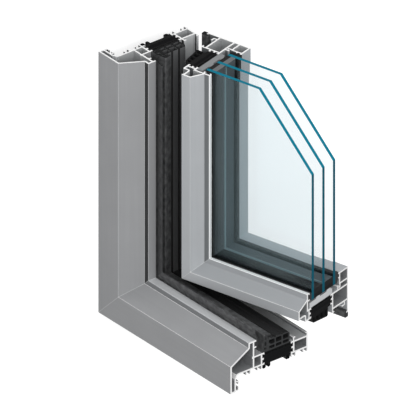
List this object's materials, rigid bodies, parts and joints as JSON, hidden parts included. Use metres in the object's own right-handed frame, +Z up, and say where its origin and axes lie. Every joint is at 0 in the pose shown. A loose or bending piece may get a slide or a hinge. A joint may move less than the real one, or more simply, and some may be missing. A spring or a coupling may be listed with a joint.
{
  "type": "window frame profile section",
  "caption": "Corner section of a thermally broken aluminium window: mitred fixed frame and an inward opening sash with triple glazing, turning on a side hinge.",
  "frame": {"origin": "outer corner of the fixed frame on its outdoor face, where the mitre starts", "axes": "-X along the jamb arm, which lies on its outer side, +Y from outdoors into the room, +Z up along the standing sill arm"},
  "size_m": [0.234, 0.1199, 0.1774],
  "materials": {
    "frame_aluminium": "satin powder coated",
    "sash_aluminium": "satin powder coated",
    "cast_cleat": "as cast",
    "hinge_aluminium": "satin",
    "hinge_steel": "ground",
    "polyamide_bar": "matt extruded",
    "core_foam": "fine cell foam",
    "rebate_foam": "foam with a pale facing",
    "rubber_seal": "matt extruded",
    "edge_sealant": "matt",
    "glazing_spacer": "matt",
    "pane_glass": "clear float"
  },
  "bodies": {
    "frame": {"frame_inner_corner_cleat": "cast_cleat", "frame_jamb_central_seal": "rubber_seal", "frame_jamb_foam_core": "core_foam", "frame_jamb_inner_profile": "frame_aluminium", "frame_jamb_lower_bar": "polyamide_bar", "frame_jamb_outer_profile": "frame_aluminium", "frame_jamb_outer_seal": "rubber_seal", "frame_jamb_upper_bar": "polyamide_bar", "frame_outer_corner_cleat": "cast_cleat", "frame_sill_central_seal": "rubber_seal", "frame_sill_foam_core": "core_foam", "frame_sill_inner_profile": "frame_aluminium", "frame_sill_lower_bar": "polyamide_bar", "frame_sill_outer_profile": "frame_aluminium", "frame_sill_outer_seal": "rubber_seal", "frame_sill_upper_bar": "polyamide_bar", "hinge_frame_leaf": "hinge_aluminium", "hinge_pin": "hinge_steel"},
    "sash": {"hinge_sash_leaf": "hinge_aluminium", "inner_pane": "pane_glass", "middle_pane": "pane_glass", "outer_pane": "pane_glass", "sash_inner_corner_cleat": "cast_cleat", "sash_rail_foam_core": "core_foam", "sash_rail_glazing_bead": "sash_aluminium", "sash_rail_inner_edge_sealant": "edge_sealant", "sash_rail_inner_glazing_seal": "rubber_seal", "sash_rail_inner_profile": "sash_aluminium", "sash_rail_inner_spacer": "glazing_spacer", "sash_rail_lower_bar": "polyamide_bar", "sash_rail_outer_edge_sealant": "edge_sealant", "sash_rail_outer_glazing_seal": "rubber_seal", "sash_rail_outer_profile": "sash_aluminium", "sash_rail_outer_spacer": "glazing_spacer", "sash_rail_overlap_seal": "rubber_seal", "sash_rail_rebate_foam": "rebate_foam", "sash_rail_upper_bar": "polyamide_bar", "sash_stile_foam_core": "core_foam", "sash_stile_glazing_bead": "sash_aluminium", "sash_stile_inner_edge_sealant": "edge_sealant", "sash_stile_inner_glazing_seal": "rubber_seal", "sash_stile_inner_profile": "sash_aluminium", "sash_stile_inner_spacer": "glazing_spacer", "sash_stile_lower_bar": "polyamide_bar", "sash_stile_outer_edge_sealant": "edge_sealant", "sash_stile_outer_glazing_seal": "rubber_seal", "sash_stile_outer_profile": "sash_aluminium", "sash_stile_outer_spacer": "glazing_spacer", "sash_stile_overlap_seal": "rubber_seal", "sash_stile_rebate_foam": "rebate_foam", "sash_stile_upper_bar": "polyamide_bar"}
  },
  "joints": [
    {"name": "sash_turn", "type": "hinge", "parent": "frame", "child": "sash", "pos_m": [-0.085, 0.0881, 0.0183], "axis": [-1, 0, 0], "range_deg": [-15, 75]}
  ]
}
